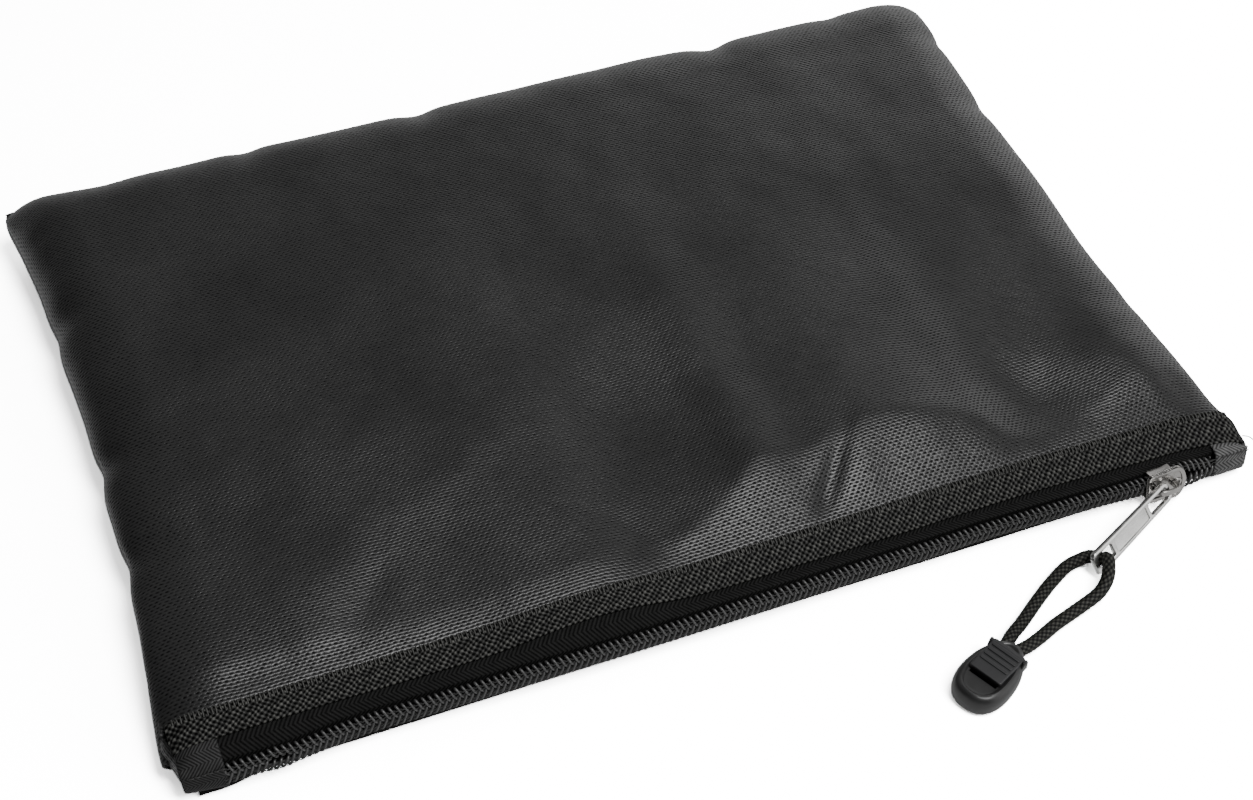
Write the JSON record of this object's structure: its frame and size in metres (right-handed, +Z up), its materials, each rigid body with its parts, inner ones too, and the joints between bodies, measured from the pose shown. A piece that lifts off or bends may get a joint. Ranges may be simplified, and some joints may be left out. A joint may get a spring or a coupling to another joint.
{
  "type": "lipo safe bag",
  "caption": "Flat padded fire-resistant fabric pouch for batteries, closed along its front edge by a coil zipper with a metal pull, cord loop and plastic cord end.",
  "frame": {"origin": "middle of the pouch's underside, on the surface it lies on", "axes": "+X along the zipper towards its closed end, +Y from the zipper to the back edge, +Z up"},
  "size_m": [0.2685, 0.2248, 0.024],
  "materials": {
    "panel_fabric": "silicone-coated plain-weave glass-fibre cloth, satin",
    "batting_white": "matt felted insulation",
    "lining_black": "matt woven lining",
    "seam_tape": "matt woven tape",
    "binding_weave": "coarse plain-weave tape",
    "thread_black": "sewing thread",
    "zipper_tape_black": "herringbone tape",
    "coil_nylon": "black nylon monofilament",
    "tab_dark": "twill tape",
    "tab_grey": "twill tape",
    "slider_metal": "satin die-cast metal",
    "pull_metal": "satin nickel plate",
    "cord_black": "braided polyester cord",
    "cord_end_grey": "moulded plastic",
    "clip_grey": "moulded plastic"
  },
  "bodies": {
    "bag_base": {"outer_panel_bottom": "panel_fabric", "batting_bottom": "batting_white", "lining_bottom": "lining_black", "seam_binding_left": "seam_tape", "seam_binding_right": "seam_tape", "seam_binding_back": "seam_tape", "zipper_tape_lower": "zipper_tape_black", "coil_lower": "coil_nylon", "coil_cord_lower": "thread_black", "binding_tape_lower": "binding_weave", "binding_stitches_lower": "thread_black", "end_tab_left": "tab_dark", "end_tab_right": "tab_grey", "end_tab_stitches": "thread_black"},
    "bag_top": {"outer_panel_top": "panel_fabric", "batting_top": "batting_white", "lining_top": "lining_black", "zipper_tape_upper": "zipper_tape_black", "coil_upper": "coil_nylon", "coil_cord_upper": "thread_black", "binding_tape_upper": "binding_weave", "binding_stitches_upper": "thread_black"},
    "slider": {"slider_body": "slider_metal"},
    "pull": {"pull_tab": "pull_metal"},
    "cord": {"cord_loop": "cord_black"},
    "cord_end": {"cord_end_body": "cord_end_grey"},
    "clip": {"cord_end_clip": "clip_grey"}
  },
  "joints": [
    {"name": "mouth_open", "type": "hinge", "parent": "bag_base", "child": "bag_top", "pos_m": [0, 0.091, 0.0123], "axis": [-1, 0, 0], "range_deg": [0, 12]},
    {"name": "slider_travel", "type": "slide", "parent": "bag_base", "child": "slider", "axis": [-1, 0, 0], "range_m": [0, 0.2241], "deforming": ["coil_upper", "coil_lower", "coil_cord_upper", "coil_cord_lower", "zipper_tape_upper", "zipper_tape_lower"]},
    {"name": "pull_swing", "type": "hinge", "parent": "slider", "child": "pull", "pos_m": [0.1082, -0.09683, 0.00626], "axis": [-0.3106, 0.4883, 0.8155], "range_deg": [0, 110]},
    {"name": "cord_swing", "type": "hinge", "parent": "pull", "child": "cord", "pos_m": [0.0843, -0.10787, 0.00377], "axis": [-0.3106, 0.4883, 0.8155], "range_deg": [0, 50], "deforming": ["cord_loop"]},
    {"name": "cord_bend", "type": "hinge", "parent": "cord", "child": "cord_end", "pos_m": [0.05285, -0.12265, 0.0027], "axis": [-0.4321, 0.9018, 0], "range_deg": [0, 60], "deforming": ["cord_loop"]},
    {"name": "clip_snap", "type": "hinge", "parent": "cord_end", "child": "clip", "pos_m": [0.04874, -0.12495, 0.0063], "axis": [-0.4321, 0.9018, 0], "range_deg": [0, 95]}
  ],
  "couplings": [
    {"joint": "slider_travel", "follows": "mouth_open", "m_per_rad": 1.07}
  ]
}
